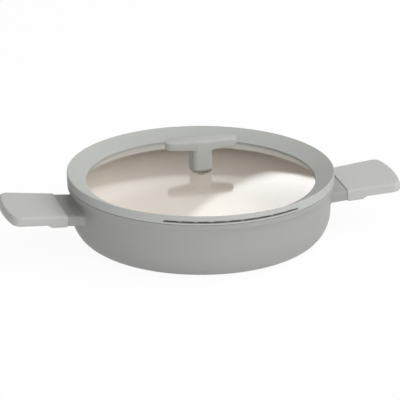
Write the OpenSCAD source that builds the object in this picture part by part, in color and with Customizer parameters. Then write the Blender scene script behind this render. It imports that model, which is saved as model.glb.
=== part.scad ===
// Saute pan with a glass lid. Millimetres, +Z up.
// The origin is the centre of the base, on the table. The handles lie along X, and the lid's
// two pouring slots face -Y and +Y.

/* [Pan] */
// Height of the rim above the table
pan_h = 64.9; // [58:0.1:90]
// Outside diameter of the wall, just under the rim collar
wall_d = 283.8; // [250:0.2:330]
// How much narrower the wall's radius is at the bottom curve
wall_draft = 0.3; // [0:0.1:3]
// Thickness of the cast wall
wall_t = 2.8; // [2:0.1:3.6]
// Thickness of the floor
floor_t = 5; // [4:0.1:8]
// Height of the curve between wall and base
corner_h = 33; // [24:0.5:38]
// Width of the curve between wall and base
corner_w = 24.5; // [16:0.5:30]
// How far the rim collar stands out from the wall
collar_out = 3; // [1:0.1:5]
// Height of the collar's straight band
collar_h = 5.2; // [3:0.1:8]
// Height of the hollow curve from the collar down to the wall
cove_h = 10; // [5:0.5:14]
// Radius on the rim's two edges
rim_round = 0.9; // [0.4:0.1:1.3]

/* [Base disc] */
// Diameter of the steel induction disc
disc_d = 200; // [150:1:210]
// Thickness of the induction disc
disc_t = 1.5; // [0.8:0.1:2.5]
// Diameter of the disc's holes, which the casting fills
disc_hole_d = 8; // [5:0.5:11]
// Number of rings of holes
disc_rings = 3; // [2:1:4]

/* [Lid ring] */
// Height from the rim to the ring's crest
ring_h = 10.15; // [9:0.05:14]
// How far the ring stands out past the collar
ring_out = 0.3; // [0:0.1:1]
// Radius on the crest and on the ring's lower edge
ring_round = 0.9; // [0.4:0.1:1.2]
// Width of the sloping top face, from the crest to the glass
funnel_w = 20.4; // [17:0.1:26]
// Thickness of the lip that lies on the glass
lip_t = 0.8; // [0.5:0.1:1.4]
// Thickness of the lip under the glass
under_lip_t = 1.2; // [0.8:0.1:2]
// Depth of the plug below the rim
plug_h = 8.6; // [8:0.1:12]
// Radial clearance between plug and pan wall
plug_gap = 0.5; // [0.3:0.05:1]
// Clearance between lid and rim at rest
seat_gap = 0.15; // [0.1:0.05:0.3]

/* [Pouring slots] */
// Angle that each slot spans
slot_angle = 61; // [40:1:80]
// Height of the slot
slot_h = 2.4; // [1.6:0.1:3]
// Height of the slot's lower edge above the seat
slot_z = 2.1; // [1.6:0.1:2.4]
// Depth of the open groove before the straining windows
slot_depth = 3.4; // [2:0.1:4]
// Number of straining windows in each slot
window_n = 9; // [5:1:12]
// Share of the slot that the windows take
window_share = 0.7; // [0.5:0.05:0.85]
// Width of the channel down the plug
channel_w = 3.2; // [2:0.1:3.4]

/* [Glass] */
// Thickness of the glass
glass_t = 4; // [3:0.1:5]
// How far the glass reaches into the ring
glass_bite = 6; // [4:0.1:7]
// Rise of the dome from the lip to the middle
dome_rise = 12; // [10:0.1:20]
// Height of the glass at the lip, above the seat
glass_lip_z = -0.55; // [-1:0.05:0]
// Diameter of the hole for the knob's screw
glass_hole_d = 10; // [8:0.5:12]

/* [Knob] */
// Length of the knob's bar
knob_l = 80; // [64:1:96]
// Depth of the bar and of the stem, front to back
knob_w = 25; // [22:0.5:40]
// Radius of the bar's ends, seen from above
knob_end_r = 8.5; // [7:0.5:11]
// Height of the knob's top above the glass
knob_h = 34.4; // [32:0.1:46]
// Height from the top to the underside beside the stem
bar_t = 10.2; // [9:0.1:14]
// How much higher the underside is at the bar's ends
bar_lift = 1.2; // [0:0.1:4]
// Radius of the crowned top
knob_crown_r = 900; // [300:10:1500]
// Width of the stem
stem_w = 22.5; // [17:0.5:28]
// Radius on the stem's upright corners
stem_corner_r = 6.5; // [3:0.5:8]
// Radius between stem and bar
stem_fillet = 3.4; // [1:0.1:5]
// Thickness of the steel foot plate
foot_t = 0.8; // [0.5:0.1:1.5]
// Thickness of the rubber pads above and below the glass
pad_t = 1; // [0.5:0.1:1.6]
// How far the foot plate is set in from the stem's edge
foot_inset = 0.6; // [0.3:0.1:1.5]

/* [Knob fixing] */
// Diameter of the screw's thread
screw_d = 5; // [4:0.5:6]
// Length of thread above the glass
screw_reach = 12; // [10:0.5:16]
// Outside diameter of the brass insert
insert_d = 8; // [7.2:0.2:9.6]
// Length of the brass insert
insert_l = 12; // [8:0.5:15]
// Diameter of the cup washer and the lower pad
cup_d = 18; // [16:0.5:26]
// Thickness of the cup washer's base
cup_t = 1; // [0.6:0.1:1.6]
// Thickness of the cup washer's upturned lip
cup_wall = 0.8; // [0.5:0.1:1.2]
// Diameter of the screw's head
head_d = 9; // [8:0.5:11]
// Height of the screw's head
head_h = 2.6; // [2:0.1:4]

/* [Handles] */
// Distance from the wall to the inner end of a grip
bracket_l = 14.5; // [10:0.1:20]
// Height of the bracket's middle plane at the grip's inner end
bracket_z = 42.85; // [38:0.05:46]
// Upward slope of the handles in degrees
grip_rise = 4.9; // [0:0.1:7]
// Width of the bracket
bracket_w = 73; // [56:0.5:78]
// Thickness of the bracket
bracket_t = 11.2; // [10:0.1:13]
// Radius on the bracket's long edges
bracket_round = 2.4; // [1:0.1:4]
// Radius of the blend between bracket and wall
blend_r = 5; // [2:0.5:7]
// Length of the tongue inside the grip
tongue_l = 50; // [40:0.5:54]
// Width of the tongue
tongue_w = 52; // [40:0.5:54]
// Thickness of the tongue
tongue_t = 3.5; // [3:0.1:4]
// Height of the tongue above the bracket's middle plane
tongue_up = 2.4; // [2:0.1:2.8]

/* [Grips] */
// Length of a grip
grip_l = 64.5; // [60:0.5:80]
// How far the grip stands proud of the bracket all round
grip_proud = 1; // [0.5:0.1:2]
// Widening of each side per millimetre of length
grip_flare = 0.085; // [0:0.005:0.12]
// Thickness of the grip past the sleeve
grip_t = 10.4; // [10:0.1:11]
// Length of the thicker sleeve at the inner end
sleeve_l = 16.6; // [10:0.2:20]
// Length of the slope from the sleeve to the thinner part
step_l = 5; // [2:0.2:8]
// Radius of the grip's convex end
grip_end_r = 165; // [100:1:250]
// Radius of the grip's outer corners
grip_corner_r = 10.5; // [6:0.5:20]
// Radius on the grip's upper edges
grip_top_round = 3; // [1:0.1:4]
// Radius on the grip's lower edges
grip_low_round = 2.2; // [1:0.1:3]

/* [Grip screws] */
// Diameter of the thread
gs_d = 4; // [3:0.5:5]
// Diameter of the head
gs_head_d = 7.4; // [6.5:0.1:8.4]
// Height of the head
gs_head_h = 2; // [1.4:0.1:2.2]
// Diameter of the washer
gs_washer_d = 9; // [8.6:0.1:10]
// Thickness of the washer
gs_washer_t = 0.5; // [0.3:0.1:0.7]
// Distance of the screws from the grip's inner end
gs_u = 32; // [28:0.5:36]
// Half the distance between the two screws
gs_v = 15; // [10:0.5:18]
// How deep the head sits below the grip's underside
gs_sunk = 0.3; // [0.1:0.1:0.5]

/* [Hidden] */
$fn = 96;
eps = 0.01;
// Sides of the circles that draw the wide dome
dome_fn = 1440;
// Clearance of a screw in its hole and of an insert's bore, on the diameter
screw_play = 0.1;
// Clearance round the tongue in the grip's pocket
pocket_play = 0.15;
// Share of the edge radius by which the grip's inner end is drawn in
mouth_share = 0.35;

wall_r = wall_d / 2;
wall_low_r = wall_r - wall_draft;
base_r = wall_low_r - corner_w;
bore_r = wall_r - wall_t;
collar_r = wall_r + collar_out;

seat_z = pan_h + seat_gap;
crest_z = seat_z + ring_h;
ring_r = collar_r + ring_out;
lip_r = ring_r - funnel_w;
plug_r = bore_r - plug_gap;
plug_z = seat_z - plug_h;
glass_r = lip_r + glass_bite;
dome_r = (lip_r * lip_r + dome_rise * dome_rise) / (2 * dome_rise);
apex_z = seat_z + glass_lip_z + dome_rise;
dome_z = apex_z - dome_r;

knob_top = apex_z + knob_h;
bar_z = knob_top - bar_t;
foot_r = dome_r + pad_t + foot_t;
cup_top = dome_at(cup_d / 2, dome_r - glass_t) - pad_t;
cup_low = cup_top - cup_t;
foot_hole_r = screw_d / 2 + 0.3;
cup_lip = pad_t * 0.6;
knob_end_x = knob_l / 2 - knob_end_r;
knob_side_r = (pow(knob_end_x, 2) + pow(knob_w / 2, 2) - pow(knob_end_r, 2))
    / (knob_w - 2 * knob_end_r);
knob_side_y = knob_side_r - knob_w / 2;
knob_join_x = knob_end_x * knob_side_r / (knob_side_r - knob_end_r);

grip_x = wall_r + bracket_l;
sleeve_top = bracket_t / 2 + grip_proud;
grip_low = sleeve_top - grip_t;
mouth_hw = bracket_w / 2 + grip_proud;
tongue_low = tongue_up - tongue_t / 2;

// Height of a sphere about the dome's centre, at a distance from the axis
function dome_at(r, radius) = dome_z + sqrt(radius * radius - r * r);
// Points along part of an ellipse
function arc(cx, cy, rx, ry, from, to, n = 12) =
    [for (i = [0 : n]) let (a = from + (to - from) * i / n) [cx + rx * cos(a), cy + ry * sin(a)]];

function pan_outside() = concat(
    [[0, 0]],
    arc(base_r, corner_h, corner_w, corner_h, -90, 0, 20),
    arc(collar_r, pan_h - collar_h - cove_h, collar_out, cove_h, 180, 90, 10),
    arc(collar_r - rim_round, pan_h - rim_round, rim_round, rim_round, 0, 90, 5));

module pan_section() {
    polygon(concat(
        pan_outside(),
        arc(bore_r + rim_round, pan_h - rim_round, rim_round, rim_round, 90, 180, 5),
        arc(base_r - wall_t, corner_h, corner_w, corner_h - floor_t, 0, -90, 16),
        [[0, floor_t]]));
}

module pan_block() {
    rotate_extrude() polygon(concat(pan_outside(), [[0, pan_h]]));
}

module disc() {
    pitch = disc_d / 2 / (disc_rings + 0.75);
    difference() {
        cylinder(h = disc_t, d = disc_d);
        for (ring = [1 : disc_rings], k = [0 : 6 * ring - 1])
            rotate(60 * k / ring) translate([ring * pitch, 0, -eps])
                cylinder(h = disc_t + 2 * eps, d = disc_hole_d, $fn = 32);
    }
}

module pan_body() {
    color("#9c9d9a") difference() {
        rotate_extrude() pan_section();
        disc();
    }
}

module base_plate() {
    color("#b9bcbe") disc();
}

// Rounded rectangle from true circles
module soft_rect(w, h, r) {
    square([w - 2 * r, h], center = true);
    square([w, h - 2 * r], center = true);
    for (x = [-1, 1], y = [-1, 1]) translate([x * (w / 2 - r), y * (h / 2 - r)]) circle(r);
}

// Places a shape at a grip's inner end, with X outwards along the handle
module at_handle(side) {
    mirror([side < 0 ? 1 : 0, 0, 0]) translate([grip_x, 0, bracket_z]) rotate([0, -grip_rise, 0])
        children();
}

// Level outline of the tongue, wider by play on three sides
module tongue_plan(play) {
    r = 6;
    end_x = tongue_l + play - r;
    hw = tongue_w / 2 + play;
    translate([-1, -hw]) square([end_x + 1, 2 * hw]);
    translate([0, r - hw]) square([tongue_l + play, 2 * (hw - r)]);
    for (y = [-1, 1]) translate([end_x, y * (hw - r)]) circle(r);
}

module at_grip_screws() {
    for (v = [-1, 1]) translate([gs_u, v * gs_v, 0]) children();
}

// Hollow blends above and below the bracket, which follow the round wall
module level_blends() {
    half = asin((bracket_w / 2 - bracket_round) / wall_r);
    mid_z = bracket_z + (wall_r + blend_r - grip_x) * tan(grip_rise);
    hh = bracket_t / 2;
    rotate(-half) rotate_extrude(angle = 2 * half) polygon(concat(
        [[bore_r + 1, mid_z + hh + blend_r]],
        arc(wall_r + blend_r, mid_z + hh + blend_r, blend_r, blend_r, 180, 270, 8),
        arc(wall_r + blend_r, mid_z - hh - blend_r, blend_r, blend_r, 90, 180, 8),
        [[bore_r + 1, mid_z - hh - blend_r]]));
}

// Hollow blends at the bracket's two sides
module side_blends() {
    hw = bracket_w / 2;
    cx = sqrt(pow(wall_r + blend_r, 2) - pow(hw + blend_r, 2));
    cy = hw + blend_r;
    on_wall = [cx, cy] * (wall_r - 1) / (wall_r + blend_r);
    low_z = bracket_z + (cx - grip_x) * tan(grip_rise) - bracket_t / 2 + bracket_round;
    for (s = [-1, 1]) translate([0, 0, low_z]) linear_extrude(bracket_t - 2 * bracket_round)
        difference() {
            polygon([[cx, s * (hw - 1)], [cx, s * hw], [on_wall.x, s * on_wall.y],
                [on_wall.x, s * (hw - 1)]]);
            translate([cx, s * cy]) circle(blend_r, $fn = 48);
        }
}

module bracket(side) {
    reach = grip_x - sqrt(pow(bore_r, 2) - pow(bracket_w / 2, 2));
    color("#93948f") difference() {
        union() {
            at_handle(side) {
                translate([-reach, 0, 0]) rotate([90, 0, 90]) linear_extrude(reach)
                    soft_rect(bracket_w, bracket_t, bracket_round);
                translate([0, 0, tongue_low]) linear_extrude(tongue_t) tongue_plan(0);
            }
            mirror([side < 0 ? 1 : 0, 0, 0]) {
                level_blends();
                side_blends();
            }
        }
        pan_block();
        at_handle(side) at_grip_screws() translate([0, 0, tongue_low - 1])
            cylinder(h = tongue_t + 2, d = gs_d + screw_play, $fn = 32);
    }
}

// Half width of a grip at a distance from its inner end
function grip_hw(u) = mouth_hw + grip_flare * u;

// Height of a grip's underside: the thick sleeve, a short slope, then the thinner part
function grip_under(u) =
    u <= sleeve_l ? -sleeve_top
    : u >= sleeve_l + step_l ? grip_low
    : -sleeve_top + (grip_low + sleeve_top) * (u - sleeve_l) / step_l;

// Outline of a grip seen from above, drawn in by inset all round
function grip_outline(inset) =
    let (
        slope = sqrt(1 + grip_flare * grip_flare),
        end_x = grip_l - grip_end_r,
        b = mouth_hw - grip_corner_r * slope,
        p = 1 + grip_flare * grip_flare,
        q = grip_flare * b - end_x,
        c = end_x * end_x + b * b - pow(grip_end_r - grip_corner_r, 2),
        cx = (-q + sqrt(q * q - p * c)) / p,
        cy = b + grip_flare * cx,
        turn = atan2(cy, cx - end_x),
        corner = grip_corner_r - inset,
        upper = concat(
            arc(end_x, 0, grip_end_r - inset, grip_end_r - inset, 0, turn, 7),
            arc(cx, cy, corner, corner, turn, 90 + atan(grip_flare), 9),
            [for (u = [sleeve_l + step_l, sleeve_l, inset * mouth_share])
                [u, grip_hw(u) - inset * slope]])
    )
    concat([for (i = [len(upper) - 1 : -1 : 1]) [upper[i].x, -upper[i].y]], upper);

// Solid grip: level outlines stacked from the underside to the top, with rounded edges
module grip_block() {
    steps = 4;
    low = [for (i = [0 : steps]) let (a = 90 * i / steps, r = grip_low_round)
        for (p = [grip_outline(r * (1 - sin(a)))])
            [for (v = p) [v.x, v.y, grip_under(v.x) + r * (1 - cos(a))]]];
    high = [for (i = [0 : steps]) let (a = 90 - 90 * i / steps, r = grip_top_round)
        for (p = [grip_outline(r * (1 - sin(a)))])
            [for (v = p) [v.x, v.y, sleeve_top - r * (1 - cos(a))]]];
    rows = concat(low, high);
    n = len(rows[0]);
    last = (len(rows) - 1) * n;
    polyhedron(points = [for (row = rows, v = row) v], faces = concat(
        [for (k = [0 : len(rows) - 2], i = [0 : n - 1]) let (j = (i + 1) % n)
            [k * n + i, (k + 1) * n + i, (k + 1) * n + j, k * n + j]],
        [for (i = [0 : (n - 3) / 2 - 1]) [i, i + 1, n - 2 - i, n - 1 - i]],
        [[(n - 3) / 2, (n - 1) / 2, (n + 1) / 2]],
        [for (i = [0 : (n - 3) / 2 - 1])
            [last + n - 1 - i, last + n - 2 - i, last + i + 1, last + i]],
        [[last + (n + 1) / 2, last + (n - 1) / 2, last + (n - 3) / 2]]));
}

module grip(side) {
    wall_low = tongue_low - grip_low;
    sink = gs_sunk + gs_head_h + gs_washer_t;
    color("#bcbdb9") at_handle(side) difference() {
        grip_block();
        translate([0, 0, tongue_low]) linear_extrude(tongue_t + pocket_play)
            tongue_plan(pocket_play);
        at_grip_screws() {
            translate([0, 0, grip_low - 1]) cylinder(h = 1 + sink, d = gs_washer_d + 0.4, $fn = 48);
            translate([0, 0, grip_low]) cylinder(h = wall_low + 1, d = gs_d + screw_play, $fn = 32);
        }
    }
}

module grip_screws(side) {
    color("#c9cbcc") at_handle(side) at_grip_screws() translate([0, 0, grip_low + gs_sunk])
        difference() {
            union() {
                cylinder(h = gs_head_h, d = gs_head_d, $fn = 48);
                cylinder(h = tongue_low + tongue_t - grip_low - gs_sunk - 0.2, d = gs_d, $fn = 32);
            }
            translate([0, 0, -eps]) cylinder(h = gs_head_h * 0.6, d = gs_head_d * 0.45, $fn = 6);
        }
}

module screw_washers(side) {
    color("#d4d6d7") at_handle(side) at_grip_screws()
        translate([0, 0, grip_low + gs_sunk + gs_head_h]) difference() {
            cylinder(h = gs_washer_t, d = gs_washer_d, $fn = 48);
            translate([0, 0, -eps])
                cylinder(h = gs_washer_t + 2 * eps, d = gs_d + screw_play, $fn = 32);
        }
}

// Half section of a layer between two radii about the dome's centre
module dome_section(low_r, high_r, hole_r, edge_r) {
    low_z = dome_at(edge_r, dome_r) - 3 * glass_t;
    intersection() {
        translate([0, dome_z]) difference() {
            circle(high_r, $fn = dome_fn);
            circle(low_r, $fn = dome_fn);
        }
        translate([hole_r, low_z]) square([edge_r - hole_r, dome_z + high_r + 1 - low_z]);
    }
}

module glass_section(hole_r) {
    dome_section(dome_r - glass_t, dome_r, hole_r, glass_r);
}

module lid_glass() {
    color("#d8e2dd", 0.4) rotate_extrude() glass_section(glass_hole_d / 2);
}

// Solid half section of the silicone ring, before the glass is set in
module ring_section() {
    lip_top = dome_at(lip_r, dome_r) + lip_t;
    lip_low = dome_at(lip_r, dome_r - glass_t) - under_lip_t;
    edge_low = dome_at(glass_r, dome_r - glass_t) - under_lip_t;
    floor_z = min(edge_low, plug_z + 1);
    polygon(concat(
        [[plug_r, seat_z]],
        arc(ring_r - ring_round, seat_z + ring_round, ring_round, ring_round, -90, 0, 4),
        arc(ring_r - ring_round, crest_z - ring_round, ring_round, ring_round, 0, 90, 6),
        [[lip_r + 0.3, lip_top + 0.15], [lip_r, lip_top - 0.15], [lip_r, lip_low + 0.3],
            [lip_r + 0.4, lip_low], [glass_r, floor_z], [plug_r - 2, min(plug_z, floor_z)],
            [plug_r, min(plug_z, floor_z) + 2]]));
}

// One pouring slot: an open groove outside, then windows that turn down the plug
module pouring_slot() {
    low = seat_z + slot_z;
    groove_r = ring_r - slot_depth;
    channel_r = plug_r - channel_w;
    pitch = slot_angle / window_n;
    rotate(-slot_angle / 2) rotate_extrude(angle = slot_angle)
        translate([groove_r, low]) square([slot_depth + 1, slot_h]);
    for (k = [0 : window_n - 1])
        rotate(-slot_angle / 2 + pitch * (k + (1 - window_share) / 2))
            rotate_extrude(angle = pitch * window_share) {
                translate([channel_r, low]) square([groove_r - channel_r + eps, slot_h]);
                translate([channel_r, plug_z - 5]) square([channel_w + 1, low - plug_z + 5 + eps]);
            }
}

module lid_ring() {
    color("#b6b8b4") difference() {
        rotate_extrude() difference() {
            ring_section();
            glass_section(0);
        }
        for (a = [-90, 90]) rotate(a) pouring_slot();
    }
}

// The bar's outline from above: two round ends joined by two wide arcs
module knob_plan(inset = 0) {
    for (x = [-1, 1]) translate([x * knob_end_x, 0]) circle(knob_end_r - inset);
    intersection() {
        translate([0, knob_side_y]) circle(knob_side_r - inset, $fn = 180);
        translate([0, -knob_side_y]) circle(knob_side_r - inset, $fn = 180);
        square([2 * knob_join_x, 2 * knob_w], center = true);
    }
}

// Outline of the stem from above, which the bar's outline limits at the front and back
module stem_plan(inset = 0) {
    intersection() {
        soft_rect(stem_w - 2 * inset, knob_w - 2 * inset, stem_corner_r - inset);
        knob_plan(inset);
    }
}

// The bar seen from the front: a crowned top, and an underside that rises to the ends
module bar_front() {
    reach = knob_l / 2 + 1;
    intersection() {
        polygon([[0, bar_z], [reach, bar_z + bar_lift], [reach, knob_top + 1],
            [-reach, knob_top + 1], [-reach, bar_z + bar_lift]]);
        translate([0, knob_top - knob_crown_r]) circle(knob_crown_r, $fn = 720);
    }
}

// Hollow curve from the stem's sides and corners out to the bar's underside
module stem_flare() {
    f = stem_fillet;
    cx = stem_w / 2 - stem_corner_r;
    cy = knob_w / 2 - stem_corner_r;
    z = bar_z + bar_lift * (stem_w / 2 + f) / (knob_l / 2 + 1);
    module edge(x) polygon(concat([[x - 1, z - f]], arc(x + f, z - f, f, f, 180, 90, 8),
        [[x + f, z + 1], [x - 1, z + 1]]));
    for (k = [0 : 3]) translate([cx * (k == 1 || k == 2 ? -1 : 1), cy * (k > 1 ? -1 : 1), 0])
        rotate(90 * k) rotate_extrude(angle = 90) edge(stem_corner_r);
    for (a = [0, 180]) rotate(a) translate([0, cy, 0]) rotate([90, 0, 0]) linear_extrude(2 * cy)
        edge(stem_w / 2);
}

module lid_knob() {
    low = apex_z - glass_t;
    color("#b4b6b2") difference() {
        intersection() {
            union() {
                rotate([90, 0, 0]) linear_extrude(knob_w + 2, center = true) bar_front();
                translate([0, 0, low]) linear_extrude(bar_z + 1 - low) stem_plan();
                stem_flare();
            }
            translate([0, 0, low]) linear_extrude(knob_h + glass_t + 1) knob_plan();
        }
        rotate_extrude() dome_section(dome_r - 2 * glass_t, foot_r, 0, knob_w);
        translate([0, 0, apex_z]) cylinder(h = pad_t + foot_t + insert_l, d = insert_d, $fn = 48);
    }
}

// Layer of the knob's foot, in the stem's outline
module foot_layer(low_r, high_r) {
    intersection() {
        translate([0, 0, apex_z - glass_t]) linear_extrude(2 * glass_t) stem_plan(foot_inset);
        rotate_extrude() dome_section(low_r, high_r, foot_hole_r, knob_w);
    }
}

module knob_foot_plate() {
    color("#cfd1d2") foot_layer(dome_r + pad_t, foot_r);
}

module knob_upper_pad() {
    color("#6f706d") foot_layer(dome_r, dome_r + pad_t);
}

module knob_lower_pad() {
    pad_r = cup_d / 2 - cup_wall;
    color("#6f706d") rotate_extrude() polygon([
        [foot_hole_r, cup_top], [pad_r, cup_top],
        [pad_r, dome_at(pad_r, dome_r - glass_t)],
        [foot_hole_r, dome_at(foot_hole_r, dome_r - glass_t)]]);
}

module knob_insert() {
    groove_z = insert_l / 2;
    color("#c9a558") translate([0, 0, apex_z + pad_t + foot_t]) difference() {
        cylinder(h = insert_l, d = insert_d, $fn = 48);
        translate([0, 0, -eps])
            cylinder(h = insert_l + 2 * eps, d = screw_d + screw_play, $fn = 48);
        translate([0, 0, groove_z - 0.7]) difference() {
            cylinder(h = 1.4, d = insert_d + 1);
            translate([0, 0, -eps]) cylinder(h = 1.4 + 2 * eps, d = insert_d - 0.8, $fn = 48);
        }
    }
}

module knob_washer() {
    color("#d0d2d3") rotate_extrude() {
        translate([foot_hole_r, cup_low]) square([cup_d / 2 - foot_hole_r, cup_t]);
        translate([cup_d / 2 - cup_wall, cup_low]) square([cup_wall, cup_t + cup_lip]);
    }
}

module knob_screw() {
    color("#c4c6c8") translate([0, 0, cup_low - head_h]) difference() {
        union() {
            cylinder(h = head_h, d = head_d, $fn = 48);
            cylinder(h = head_h + apex_z - cup_low + screw_reach, d = screw_d, $fn = 48);
        }
        translate([0, 0, -eps]) cylinder(h = head_h * 0.6, d = head_d * 0.45, $fn = 6);
    }
}

pan_body();
base_plate();
bracket(-1);  // left_bracket
bracket(1);  // right_bracket
grip(-1);  // left_grip
grip(1);  // right_grip
grip_screws(-1);  // left_grip_screws
grip_screws(1);  // right_grip_screws
screw_washers(-1);  // left_screw_washers
screw_washers(1);  // right_screw_washers
lid_glass();
lid_ring();
lid_knob();
knob_foot_plate();
knob_upper_pad();
knob_lower_pad();
knob_insert();
knob_washer();
knob_screw();
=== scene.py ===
"""Saute pan with a glass lid: finishes, soft edges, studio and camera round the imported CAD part.

Lengths are in metres in the part's own frame: origin under the middle of the base, +Z up, the two
handles along X. The file is laid out as an add-on and is run as a script.
"""

import math

import bmesh
import bpy
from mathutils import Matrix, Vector


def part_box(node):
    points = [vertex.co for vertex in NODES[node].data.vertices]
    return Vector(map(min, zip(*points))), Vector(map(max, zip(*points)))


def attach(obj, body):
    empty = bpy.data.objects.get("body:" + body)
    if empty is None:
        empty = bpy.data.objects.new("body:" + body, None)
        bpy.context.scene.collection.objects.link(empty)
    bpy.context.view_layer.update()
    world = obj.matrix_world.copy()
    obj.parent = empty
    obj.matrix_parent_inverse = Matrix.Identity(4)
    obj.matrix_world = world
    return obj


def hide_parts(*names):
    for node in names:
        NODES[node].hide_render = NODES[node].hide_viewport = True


bl_info = {
    "name": "Saute pan with lid",
    "version": (1, 0, 0),
    "blender": (4, 5, 0),
    "location": "View3D > Sidebar > Saute pan",
    "description": "Dresses the packed pan and lid, and sets a pale studio round them",
    "category": "Object",
}

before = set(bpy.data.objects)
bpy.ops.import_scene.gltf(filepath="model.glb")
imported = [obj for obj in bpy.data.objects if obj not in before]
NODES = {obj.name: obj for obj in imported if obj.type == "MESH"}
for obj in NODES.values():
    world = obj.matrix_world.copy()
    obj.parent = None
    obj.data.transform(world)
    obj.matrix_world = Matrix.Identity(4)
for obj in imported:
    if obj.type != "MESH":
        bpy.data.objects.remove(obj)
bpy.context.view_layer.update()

# The rim's collar stands out from the wall by this much.
COLLAR_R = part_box("pan_body")[1].x
COLLAR_OUT = 0.003
WALL_R = COLLAR_R - COLLAR_OUT
# The two coatings meet inside the pan's floor at this height.
COAT_LINE_Z = 0.0025

# The brackets as the CAD has them: a slab with rounded long edges that slopes up outwards. Its
# middle is at BRACKET_Z where the grip begins.
GRIP_X = WALL_R + 0.0145
BRACKET_Z = 0.04285
HANDLE_RISE = math.radians(4.9)
BRACKET_HALF_W, BRACKET_HALF_T, BRACKET_ROUND = 0.0365, 0.0056, 0.0024
# A bracket's root ends here. The outer part laps over its end, and the root is a hair larger.
ROOT_END_X = WALL_R + 0.0056
ROOT_LAP = 0.0003
ROOT_PROUD = 0.00003
# The root goes this deep into the wall.
ROOT_DEPTH = 0.001
ROOT_CUTS = 28
ROOT_STEPS = 10
CORNER_STEPS = 6

# Corners nearer than this are one, and faces this flat to each other are one face.
MERGE_GAP = 0.000002
FLAT_ANGLE = math.radians(0.4)
# Edges sharper than this are shaded as edges.
SHADE_ANGLE = math.radians(32)
# The knob's edges sharper than this are rounded, which leaves its crown and round ends alone.
KNOB_CREASE = math.radians(40)
KNOB_STEPS = 4

# The metals: finish, colour, least roughness and CAD nodes.
METALS = (
    (
        "screw_steel",
        (0.6, 0.6, 0.6),
        0.3,
        (
            "left_grip_screws",
            "right_grip_screws",
            "left_screw_washers",
            "right_screw_washers",
            "knob_screw",
        ),
    ),
    ("foot_steel", (0.72, 0.72, 0.71), 0.24, ("knob_foot_plate", "knob_washer")),
    ("brass", (0.72, 0.53, 0.24), 0.32, ("knob_insert",)),
)

# How fine the noises are, per metre: the turned lines, the grains and the broad clouds.
RING_LINES = 1800.0
METAL_GRAIN, RUBBER_GRAIN, KNOB_GRAIN = 2500.0, 2200.0, 1900.0
PAN_CLOUD, GRIP_CLOUD, RING_CLOUD, KNOB_CLOUD = 14.0, 22.0, 18.0, 30.0

# The share of light that glass reflects straight back.
FACE_GLOSS = 0.04

# The lamps: name, place and size. Their powers are settings.
LAMPS = (
    ("key", (1.6, -0.35, 1.9), (2.0, 2.0)),
    ("front", (0.3, -1.9, 1.5), (2.0, 2.0)),
    ("fill", (-0.3, -2.2, 0.16), (2.6, 0.26)),
)
LAMP_AIM = Vector((0, 0, 0.05))

# What gloss reflects. Each pair says where a soft edge begins and ends, in parts of the length of
# a direction: upwards for feet and haze, along CARD_SIDE for the card's left edge, and along +Y
# for where the card has come up from its least share.
CARD_SIDE = (0.866, -0.427, 0.259)
CARD_EDGE = (-0.025, 0.03)
CARD_FOOT = (0.275, 0.335)
CARD_AHEAD = (-0.1, 0.35)
CARD_LEAST = 0.25
BACKDROP_FOOT = (0.36, 0.43)
HAZE_EDGE = (0.12, 0.36)
HAZE = 0.22
# The soft light grows from the horizon up to this height.
SKY_TOP = 0.8

FLOOR_HALF = 12.0
# The floor is this far under the base, so that the two don't lie in one plane.
FLOOR_DROP = 0.0002
FLOOR_PAINT = (0.97, 0.97, 0.97, 1.0)
# The camera and gloss see this share of the floor as plain white. The rest keeps the shadow.
FLOOR_WHITE = 0.95

# The photograph's camera.
CAMERA_PLACE = (-0.8374, -3.1714, 1.2609)
CAMERA_AIM = Vector((-0.00065, 0.00017, 0.03973))
CAMERA_LENS = 289.1
CAMERA_SENSOR = 36.0


# --------------------------------------------------------------------------------------------
# Shader building


class Wire:
    """One shader socket, or the output of one, on which sums are written as Python expressions."""

    def __init__(self, finish, socket):
        self.finish = finish
        self.socket = socket

    def _sum(self, operation, *values):
        return self.finish.node("ShaderNodeMath", {"operation": operation}, values)

    def __add__(self, other):
        return self._sum("ADD", self, other)

    __radd__ = __add__

    def __sub__(self, other):
        return self._sum("SUBTRACT", self, other)

    def __rsub__(self, other):
        return self._sum("SUBTRACT", other, self)

    def __mul__(self, other):
        return self._sum("MULTIPLY", self, other)

    __rmul__ = __mul__

    def __truediv__(self, other):
        return self._sum("DIVIDE", self, other)

    def __pow__(self, other):
        return self._sum("POWER", self, other)

    def __gt__(self, other):
        return self._sum("GREATER_THAN", self, other)

    def __lt__(self, other):
        return self._sum("LESS_THAN", self, other)

    def most(self, other):
        return self._sum("MAXIMUM", self, other)

    def least(self, other):
        return self._sum("MINIMUM", self, other)

    def root(self):
        return self._sum("SQRT", self)


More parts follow.
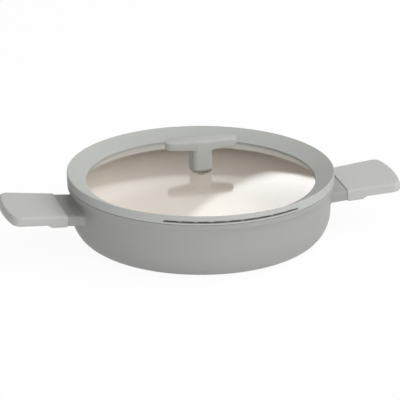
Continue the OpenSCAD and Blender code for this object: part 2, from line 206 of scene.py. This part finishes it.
class Finish:
    """A node material or world, built from nothing."""

    def __init__(self, owner):
        owner.use_nodes = True
        self.tree = owner.node_tree
        self.tree.nodes.clear()

    def node(self, kind, settings=None, values=(), output=0):
        """Adds a node: its settings come first, then what its sockets hold or are linked to."""
        made = self.tree.nodes.new(kind)
        for name, value in (settings or {}).items():
            setattr(made, name, value)
        pairs = values.items() if isinstance(values, dict) else enumerate(values)
        for key, value in pairs:
            if isinstance(value, Wire):
                self.tree.links.new(value.socket, made.inputs[key])
            else:
                made.inputs[key].default_value = value
        return Wire(self, made.outputs[output])

    def place(self):
        """Object coordinates."""
        return self.node("ShaderNodeTexCoord", output="Object")

    def axes(self, place):
        """The three coordinates of a vector, each as a number."""
        split = self.node("ShaderNodeSeparateXYZ", values=[place])
        outputs = split.socket.node.outputs
        return [Wire(self, outputs[i]) for i in range(3)]

    def noise(self, place, scale, detail=2.0, roughness=0.5):
        return self.node(
            "ShaderNodeTexNoise",
            values={"Vector": place, "Scale": scale, "Detail": detail, "Roughness": roughness},
        )

    def between(self, value, low, high, to_low=0.0, to_high=1.0, smooth=False):
        """Maps value from low..high to to_low..to_high, and holds it there."""
        kind = "SMOOTHSTEP" if smooth else "LINEAR"
        return self.node(
            "ShaderNodeMapRange",
            {"interpolation_type": kind, "clamp": True},
            {
                "Value": value,
                "From Min": low,
                "From Max": high,
                "To Min": to_low,
                "To Max": to_high,
            },
        )

    def blend(self, share, first, second):
        """A colour between two colour links."""
        return self.node(
            "ShaderNodeMix",
            {"data_type": "RGBA", "blend_type": "MIX"},
            {0: share, 6: first, 7: second},
            output=2,
        )

    def shade(self, colour, by):
        """A colour made lighter or darker by a factor near 1."""
        factor = self.node("ShaderNodeCombineColor", values=[by, by, by])
        return self.node(
            "ShaderNodeMix",
            {"data_type": "RGBA", "blend_type": "MULTIPLY"},
            {0: 1.0, 6: wide(colour), 7: factor},
            output=2,
        )

    def bump(self, height, distance, strength=1.0):
        return self.node(
            "ShaderNodeBump",
            values={"Strength": strength, "Distance": distance, "Height": height},
        )

    def principled(self, **sockets):
        named = {key.replace("_", " "): value for key, value in sockets.items()}
        return self.node("ShaderNodeBsdfPrincipled", values=named)

    def mix(self, share, first, second):
        return self.node("ShaderNodeMixShader", values=[share, first, second])

    def show(self, shader, kind="ShaderNodeOutputMaterial"):
        end = self.tree.nodes.new(kind)
        self.tree.links.new(shader.socket, end.inputs["Surface"])


def new_finish(name):
    material = bpy.data.materials.new(name)
    return material, Finish(material)


def wide(colour):
    """A colour with its fourth number, as a socket wants it."""
    return (*colour[:3], 1.0)


def dress(piece, material):
    """Gives an object one finish."""
    piece.data.materials.clear()
    piece.data.materials.append(material)


def put_on(node_names, material):
    """Gives CAD nodes one finish."""
    for name in node_names:
        dress(NODES[name], material)


# --------------------------------------------------------------------------------------------
# New pieces


def smooth_faces(bm):
    """Shades the faces smooth, apart from the sharp edges between them."""
    for face in bm.faces:
        face.smooth = True
    for edge in bm.edges:
        edge.smooth = edge.calc_face_angle(0.0) < SHADE_ANGLE


def settle(bm):
    """Puts corners, edges and faces in order of place, because extrude's own order is by chance."""
    for parts, key in (
        (bm.verts, lambda corner: tuple(corner.co)),
        (bm.edges, lambda edge: sorted(v.index for v in edge.verts)),
        (bm.faces, lambda face: sorted(v.index for v in face.verts)),
    ):
        for number, part in enumerate(sorted(parts, key=key)):
            part.index = number
        parts.sort()


def new_piece(name, mesh, body):
    """An object at the origin that moves with a body and takes its finish from a slot."""
    piece = bpy.data.objects.new(name, mesh)
    bpy.context.scene.collection.objects.link(piece)
    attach(piece, body)
    return piece


def soft_copy(node_name, body, radius, steps, crease):
    """Takes a CAD node's place with a copy whose outward edges sharper than crease are rounded."""
    mesh = NODES[node_name].data.copy()
    bm = bmesh.new()
    bm.from_mesh(mesh)
    bmesh.ops.remove_doubles(bm, verts=bm.verts, dist=MERGE_GAP)
    bmesh.ops.dissolve_limit(bm, angle_limit=FLAT_ANGLE, verts=bm.verts, edges=bm.edges)
    sharp = [e for e in bm.edges if e.is_manifold and e.calc_face_angle_signed(0.0) > crease]
    if not sharp:
        raise RuntimeError(f"{node_name} has no edge to round")
    bmesh.ops.bevel(
        bm, geom=sharp, offset=radius, segments=steps, profile=0.5, affect="EDGES", material=-1
    )
    smooth_faces(bm)
    bm.to_mesh(mesh)
    bm.free()
    piece = new_piece(f"soft_{node_name}", mesh, body)
    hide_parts(node_name)
    return piece


def bracket_root(side, radius):
    """Makes a bracket's inner part, with a hollow blend all round where it meets the round wall."""
    bm = bmesh.new()
    bmesh.ops.create_grid(bm, x_segments=1, y_segments=ROOT_CUTS, size=1.0)
    bmesh.ops.scale(bm, verts=bm.verts, vec=(BRACKET_HALF_T, BRACKET_HALF_W, 1.0))
    corners = [v for v in bm.verts if len(v.link_edges) == 2]
    bmesh.ops.bevel(
        bm,
        geom=corners,
        offset=BRACKET_ROUND,
        offset_type="OFFSET",
        segments=CORNER_STEPS,
        profile=0.5,
        affect="VERTICES",
        material=-1,
    )
    # Each corner of the section keeps its place on the bracket and its way outwards from it.
    start = bm.verts.layers.float_vector.new("start")
    out = bm.verts.layers.float_vector.new("out")
    core_t, core_w = BRACKET_HALF_T - BRACKET_ROUND, BRACKET_HALF_W - BRACKET_ROUND
    for v in bm.verts:
        near = Vector((min(max(v.co.x, -core_t), core_t), min(max(v.co.y, -core_w), core_w), 0))
        v[start] = v.co
        v[out] = (v.co - near).normalized()

    # Each ring is a gap from the wall and how far the section has spread there.
    turns = [math.pi / 2 * i / ROOT_STEPS for i in range(ROOT_STEPS + 1)]
    rings = [(radius * (1 - math.sin(a)), radius * (1 - math.cos(a))) for a in turns]
    rings = [(None, ROOT_PROUD)] + rings + [(-ROOT_DEPTH, radius)]
    faces = list(bm.faces)
    for number, (gap, spread) in enumerate(rings):
        verts = list(bm.verts)
        if number:
            grown = bmesh.ops.extrude_face_region(bm, geom=faces)["geom"]
            if number > 1:
                bmesh.ops.delete(bm, geom=faces, context="FACES")
            faces = [g for g in grown if isinstance(g, bmesh.types.BMFace)]
            verts = [g for g in grown if isinstance(g, bmesh.types.BMVert)]
        for v in verts:
            rise, y, _ = Vector(v[start]) + Vector(v[out]) * spread
            x = ROOT_END_X if gap is None else math.sqrt((WALL_R + gap) ** 2 - y * y)
            z = BRACKET_Z + (x - GRIP_X) * math.tan(HANDLE_RISE) + rise
            v.co = (side * x, y, z)
    bmesh.ops.recalc_face_normals(bm, faces=bm.faces)
    mesh = bpy.data.meshes.new("root")
    bm.to_mesh(mesh)
    bm.free()
    return mesh


def soft_bracket(node_name, side, radius):
    """Takes a CAD bracket's place with its outer part and tongue, on a root of the given blend."""
    mesh = NODES[node_name].data.copy()
    bm = bmesh.new()
    bm.from_mesh(mesh)
    bmesh.ops.remove_doubles(bm, verts=bm.verts, dist=MERGE_GAP)
    cut = bmesh.ops.bisect_plane(
        bm,
        geom=bm.verts[:] + bm.edges[:] + bm.faces[:],
        dist=MERGE_GAP,
        plane_co=(side * (ROOT_END_X - ROOT_LAP), 0, 0),
        plane_no=(side, 0, 0),
        clear_inner=True,
    )["geom_cut"]
    edges = [g for g in cut if isinstance(g, bmesh.types.BMEdge)]
    if not bmesh.ops.edgenet_fill(bm, edges=edges)["faces"]:
        raise RuntimeError(f"{node_name} was not cut")
    root = bracket_root(side, radius)
    bm.from_mesh(root)
    bpy.data.meshes.remove(root)
    settle(bm)
    smooth_faces(bm)
    bm.to_mesh(mesh)
    bm.free()
    piece = new_piece(f"soft_{node_name}", mesh, "pan")
    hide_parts(node_name)
    return piece


# --------------------------------------------------------------------------------------------
# What a user would change


def colour_prop(name, description, default):
    return bpy.props.FloatVectorProperty(
        name=name, description=description, subtype="COLOR", size=3, min=0, max=1, default=default
    )


def length_prop(name, description, default):
    return bpy.props.FloatProperty(
        name=name,
        description=description,
        unit="LENGTH",
        subtype="DISTANCE",
        min=0,
        default=default,
    )


def share_prop(name, description, default, top=1.0):
    return bpy.props.FloatProperty(
        name=name, description=description, subtype="FACTOR", min=0, max=top, default=default
    )


def power_prop(name, description, default):
    return bpy.props.FloatProperty(
        name=name, description=description, unit="POWER", default=default
    )


class PanFinishSettings(bpy.types.PropertyGroup):
    coating: colour_prop("Outside coating", "Grey, on wall and brackets", (0.35, 0.355, 0.342))
    ceramic: colour_prop("Inside coating", "Warm ceramic coating inside", (0.82, 0.75, 0.675))
    speckle: length_prop("Speckle", "Size of the coating's fine grain", 0.0009)
    wall_top: length_prop("Wall", "Thickness of the wall, between the two coatings", 0.0028)
    corner_h: length_prop("Corner height", "Height of the curve between wall and base", 0.033)
    corner_w: length_prop("Corner width", "Width of the curve between wall and base", 0.0245)
    root_radius: length_prop("Bracket blend", "Radius between brackets and wall", 0.002)


class LidFinishSettings(bpy.types.PropertyGroup):
    silicone: colour_prop("Silicone", "Colour of the ring round the glass", (0.48, 0.49, 0.467))
    glass: colour_prop("Glass", "Tint of the glass", (0.982, 0.983, 0.977))
    rubber: colour_prop("Pads", "Colour of the two pads at the knob's foot", (0.15, 0.15, 0.145))
    knob: colour_prop("Knob", "Colour of the knob", (0.455, 0.462, 0.44))
    knob_round: length_prop("Knob edges", "Radius on the knob's edges", 0.0014)


class GripFinishSettings(bpy.types.PropertyGroup):
    grip: colour_prop("Grips", "Colour of the two grips", (0.5, 0.505, 0.485))
    grain: length_prop("Grain", "Size of the grips' fine moulded grain", 0.0005)


class StudioSettings(bpy.types.PropertyGroup):
    sky: share_prop("Sky", "Strength of the soft light from straight above", 0.55, 2.0)
    horizon: share_prop("Horizon", "Strength of the soft light from the sides", 0.04, 2.0)
    key: power_prop("Key", "Power of the large lamp above", 30.0)
    front: power_prop("Front", "Power of the large lamp in front", 16.5)
    fill: power_prop("Fill", "Power of the low strip in front", 10.5)
    card: share_prop("White card", "Strength of the card that the glass reflects", 2.75, 10.0)
    backdrop: share_prop("Backdrop", "Strength of the backdrop that the glass reflects", 0.93, 10.0)


def settings(name):
    return getattr(bpy.context.scene, name)


# --------------------------------------------------------------------------------------------
# Pan


class SAUTEPAN_OT_body(bpy.types.Operator):
    """Coats the pan, grey outside and warm ceramic inside, and blends the brackets into it"""

    bl_idname = "sautepan.body"
    bl_label = "Coat the pan"

    def execute(self, context):
        s = settings("pan_finish")
        material, f = new_finish("body_coating")
        place = f.place()
        x, y, z = f.axes(place)
        radius = (x * x + y * y).root()

        # The line between the two coatings runs through the middle of the wall.
        half = s.wall_top / 2
        bore = WALL_R - half
        foot = bore - s.corner_w
        along = (radius - foot).most(0.0) / s.corner_w
        down = (s.corner_h - z).most(0.0) / (s.corner_h - COAT_LINE_Z)
        inside = (along * along + down * down < 1.0) * (radius < bore)

        speck = f.noise(place, 1.0 / s.speckle, 3.0, 0.6)
        cloud = f.noise(place, PAN_CLOUD)
        outer = f.shade(s.coating, 0.94 + 0.08 * speck + 0.04 * cloud)
        inner = f.shade(s.ceramic, 0.97 + 0.04 * cloud + 0.02 * speck)
        colour = f.blend(inside, outer, inner)
        rough = f.between(inside, 0.0, 1.0, 0.5, 0.3) + 0.06 * cloud
        shader = f.principled(
            Base_Color=colour,
            Roughness=rough,
            Coat_Weight=0.1,
            Coat_Roughness=0.3,
            Normal=f.bump(speck, 0.00006, 0.5),
        )
        f.show(shader)
        put_on(["pan_body"], material)
        for node_name, side in (("left_bracket", -1), ("right_bracket", 1)):
            dress(soft_bracket(node_name, side, s.root_radius), material)
        return {"FINISHED"}


class SAUTEPAN_OT_base(bpy.types.Operator):
    """Turns fine rings into the steel disc under the pan"""

    bl_idname = "sautepan.base"
    bl_label = "Finish the base disc"

    def execute(self, context):
        material, f = new_finish("base_steel")
        x, y, _ = f.axes(f.place())
        radius = (x * x + y * y).root()
        rings = f.node(
            "ShaderNodeTexNoise",
            {"noise_dimensions": "1D"},
            {"W": radius * RING_LINES, "Detail": 2.0},
        )
        colour = f.shade((0.62, 0.62, 0.61), 0.9 + 0.2 * rings)
        shader = f.principled(
            Base_Color=colour,
            Metallic=1.0,
            Roughness=f.between(rings, 0.3, 0.7, 0.28, 0.42),
            Normal=f.bump(rings, 0.00004, 0.6),
        )
        f.show(shader)
        put_on(["base_plate"], material)
        return {"FINISHED"}


class SAUTEPAN_OT_grips(bpy.types.Operator):
    """Gives the two grips their soft matte moulded finish"""

    bl_idname = "sautepan.grips"
    bl_label = "Finish the grips"

    def execute(self, context):
        s = settings("grip_finish")
        material, f = new_finish("grip")
        place = f.place()
        grain = f.noise(place, 1.0 / s.grain, 2.0, 0.6)
        cloud = f.noise(place, GRIP_CLOUD)
        shader = f.principled(
            Base_Color=f.shade(s.grip, 0.96 + 0.05 * cloud + 0.03 * grain),
            Roughness=0.5 + 0.12 * cloud,
            Normal=f.bump(grain, 0.00004, 0.5),
        )
        f.show(shader)
        put_on(["left_grip", "right_grip"], material)
        return {"FINISHED"}


class SAUTEPAN_OT_screws(bpy.types.Operator):
    """Gives the screws, washers, foot plate and brass insert their metal"""

    bl_idname = "sautepan.screws"
    bl_label = "Finish the fixings"

    def execute(self, context):
        for name, colour, rough, nodes in METALS:
            material, f = new_finish(name)
            fine = f.noise(f.place(), METAL_GRAIN)
            shader = f.principled(
                Base_Color=f.shade(colour, 0.93 + 0.12 * fine),
                Metallic=1.0,
                Roughness=f.between(fine, 0.3, 0.7, rough, rough + 0.12),
                Normal=f.bump(fine, 0.00002, 0.5),
            )
            f.show(shader)
            put_on(nodes, material)
        return {"FINISHED"}


# --------------------------------------------------------------------------------------------
# Lid


class SAUTEPAN_OT_ring(bpy.types.Operator):
    """Gives the silicone ring and the rubber pads their soft matte finish"""

    bl_idname = "sautepan.ring"
    bl_label = "Finish the silicone ring"

    def execute(self, context):
        s = settings("lid_finish")
        for name, colour, nodes in (
            ("silicone", s.silicone, ["lid_ring"]),
            ("pad_rubber", s.rubber, ["knob_upper_pad", "knob_lower_pad"]),
        ):
            material, f = new_finish(name)
            place = f.place()
            fine = f.noise(place, RUBBER_GRAIN, 2.0, 0.6)
            cloud = f.noise(place, RING_CLOUD, 3.0)
            shader = f.principled(
                Base_Color=f.shade(colour, 0.96 + 0.06 * cloud + 0.02 * fine),
                Roughness=0.55 + 0.14 * cloud,
                Specular_IOR_Level=0.2,
                Normal=f.bump(fine, 0.00003, 0.5),
            )
            f.show(shader)
            put_on(nodes, material)
        return {"FINISHED"}


class SAUTEPAN_OT_glass(bpy.types.Operator):
    """Makes the dome clear, so that lamps light the inside through it"""

    bl_idname = "sautepan.glass"
    bl_label = "Clear the glass"

    def execute(self, context):
        s = settings("lid_finish")
        material, f = new_finish("glass")
        clear = f.principled(
            Base_Color=wide(s.glass), Roughness=0.0, IOR=1.5, Transmission_Weight=1.0
        )
        through = f.node("ShaderNodeBsdfTransparent", values={"Color": wide(s.glass)})
        shadow = f.node("ShaderNodeLightPath", output="Is Shadow Ray")
        spread = Wire(f, shadow.socket.node.outputs["Is Diffuse Ray"])
        # A Fresnel node would hold back every slanting ray that leaves through the far face.
        slant = f.node("ShaderNodeLayerWeight", values={"Blend": 0.5}, output="Facing")
        gloss = FACE_GLOSS + (1 - FACE_GLOSS) * slant**5
        f.show(f.mix(shadow.most(spread) * (1 - gloss), clear, through))
        put_on(["lid_glass"], material)
        return {"FINISHED"}


class SAUTEPAN_OT_knob(bpy.types.Operator):
    """Gives the knob its matte moulded finish"""

    bl_idname = "sautepan.knob"
    bl_label = "Finish the knob"

    def execute(self, context):
        s = settings("lid_finish")
        material, f = new_finish("knob")
        place = f.place()
        grain = f.noise(place, KNOB_GRAIN, 2.0, 0.6)
        cloud = f.noise(place, KNOB_CLOUD)
        shader = f.principled(
            Base_Color=f.shade(s.knob, 0.96 + 0.05 * cloud + 0.03 * grain),
            Roughness=0.48 + 0.12 * cloud,
            Normal=f.bump(grain, 0.00004, 0.5),
        )
        f.show(shader)
        knob = soft_copy("lid_knob", "lid", s.knob_round, KNOB_STEPS, KNOB_CREASE)
        dress(knob, material)
        return {"FINISHED"}


# --------------------------------------------------------------------------------------------
# Stage


class SAUTEPAN_OT_stage(bpy.types.Operator):
    """Sets the pale floor, the soft studio light, the white background and the camera"""

    bl_idname = "sautepan.stage"
    bl_label = "Set the stage"

    def execute(self, context):
        s = settings("studio")
        self.floor()
        self.world(s)
        for name, place, size in LAMPS:
            self.lamp(name, place, size, getattr(s, name))
        self.camera()
        context.scene.view_settings.view_transform = "Standard"
        return {"FINISHED"}

    def floor(self):
        mesh = bpy.data.meshes.new("floor")
        bm = bmesh.new()
        bmesh.ops.create_grid(bm, x_segments=1, y_segments=1, size=FLOOR_HALF)
        bmesh.ops.translate(bm, verts=bm.verts, vec=(0, 0, -FLOOR_DROP))
        bm.to_mesh(mesh)
        bm.free()
        floor = bpy.data.objects.new("floor", mesh)
        bpy.context.scene.collection.objects.link(floor)
        material, f = new_finish("floor_white")
        paint = f.principled(Base_Color=FLOOR_PAINT, Roughness=0.9)
        white = f.node("ShaderNodeEmission", values={"Color": (1, 1, 1, 1), "Strength": 1.0})
        seen = f.node("ShaderNodeLightPath", output="Is Camera Ray")
        mirrored = Wire(f, seen.socket.node.outputs["Is Glossy Ray"])
        f.show(f.mix((seen + mirrored).least(1.0) * FLOOR_WHITE, paint, white))
        mesh.materials.append(material)

    def world(self, s):
        world = bpy.data.worlds.new("studio")
        bpy.context.scene.world = world
        f = Finish(world)
        path = f.node("ShaderNodeLightPath", output="Is Camera Ray")
        outputs = path.socket.node.outputs
        through = Wire(f, outputs["Is Transmission Ray"])
        first = Wire(f, outputs["Diffuse Depth"]) < 0.5
        # The glass's lower face reflects too, on a ray that leaves through the upper face.
        mirrored = Wire(f, outputs["Glossy Depth"]) > 0.5
        seen = (path + through * (1 - mirrored)).least(1.0) * first
        glossy = Wire(f, outputs["Is Glossy Ray"]).most(through * mirrored * first)

        # The large card on the right has one straight soft edge, which the glass shows.
        way = f.node("ShaderNodeTexCoord", output="Generated")
        _, ahead, height = f.axes(way)
        side = f.node(
            "ShaderNodeVectorMath",
            {"operation": "DOT_PRODUCT"},
            {0: way, 1: CARD_SIDE},
            output="Value",
        )
        backdrop = f.between(height, *BACKDROP_FOOT, 0.0, s.backdrop, smooth=True)
        backdrop = backdrop.most(f.between(height, *HAZE_EDGE, 0.0, HAZE))
        card = f.between(side, *CARD_EDGE, 0.0, s.card, smooth=True)
        card = (card * f.between(height, *CARD_FOOT, smooth=True)).most(backdrop)
        card = card * f.between(ahead, *CARD_AHEAD, CARD_LEAST, 1.0, smooth=True)
        sky = f.between(height, 0.0, SKY_TOP, s.horizon, s.sky)
        level = sky * (1 - glossy) + card * glossy
        strength = seen + level * (1 - seen)
        shader = f.node(
            "ShaderNodeBackground", values={"Color": (1, 1, 1, 1), "Strength": strength}
        )
        f.show(shader, "ShaderNodeOutputWorld")

    def lamp(self, name, place, size, power):
        light = bpy.data.lights.new(name, "AREA")
        light.shape = "RECTANGLE"
        light.size, light.size_y = size
        light.energy = power
        lamp = bpy.data.objects.new(name, light)
        lamp.location = place
        aim = LAMP_AIM - lamp.location
        lamp.rotation_euler = aim.to_track_quat("-Z", "Y").to_euler()
        lamp.visible_glossy = False
        bpy.context.scene.collection.objects.link(lamp)

    def camera(self):
        camera = bpy.data.cameras.new("camera")
        camera.sensor_width = CAMERA_SENSOR
        camera.lens = CAMERA_LENS
        camera.clip_start, camera.clip_end = 0.1, 60.0
        view = bpy.data.objects.new("camera", camera)
        view.location = CAMERA_PLACE
        aim = CAMERA_AIM - view.location
        view.rotation_euler = aim.to_track_quat("-Z", "Y").to_euler()
        bpy.context.scene.collection.objects.link(view)
        bpy.context.scene.camera = view


# --------------------------------------------------------------------------------------------
# Add-on


GROUPS = {
    "pan_finish": PanFinishSettings,
    "lid_finish": LidFinishSettings,
    "grip_finish": GripFinishSettings,
    "studio": StudioSettings,
}
STEPS = (
    SAUTEPAN_OT_body,
    SAUTEPAN_OT_base,
    SAUTEPAN_OT_grips,
    SAUTEPAN_OT_screws,
    SAUTEPAN_OT_ring,
    SAUTEPAN_OT_glass,
    SAUTEPAN_OT_knob,
    SAUTEPAN_OT_stage,
)


class SAUTEPAN_PT_panel(bpy.types.Panel):
    """Shows the finish and studio settings, and a button for each step"""

    bl_idname = "SAUTEPAN_PT_panel"
    bl_label = "Saute pan"
    bl_space_type = "VIEW_3D"
    bl_region_type = "UI"
    bl_category = "Saute pan"

    def draw(self, context):
        for name, group in GROUPS.items():
            box = self.layout.box()
            for prop in group.__annotations__:
                box.prop(getattr(context.scene, name), prop)
        for step in STEPS:
            self.layout.operator(step.bl_idname)


def register():
    for name, group in GROUPS.items():
        bpy.utils.register_class(group)
        setattr(bpy.types.Scene, name, bpy.props.PointerProperty(type=group))
    for step in STEPS:
        bpy.utils.register_class(step)
    bpy.utils.register_class(SAUTEPAN_PT_panel)


def unregister():
    bpy.utils.unregister_class(SAUTEPAN_PT_panel)
    for step in reversed(STEPS):
        bpy.utils.unregister_class(step)
    for name, group in GROUPS.items():
        delattr(bpy.types.Scene, name)
        bpy.utils.unregister_class(group)


def main():
    register()
    for step in STEPS:
        group, name = step.bl_idname.split(".")
        getattr(getattr(bpy.ops, group), name)()


if __name__ == "__main__":
    main()
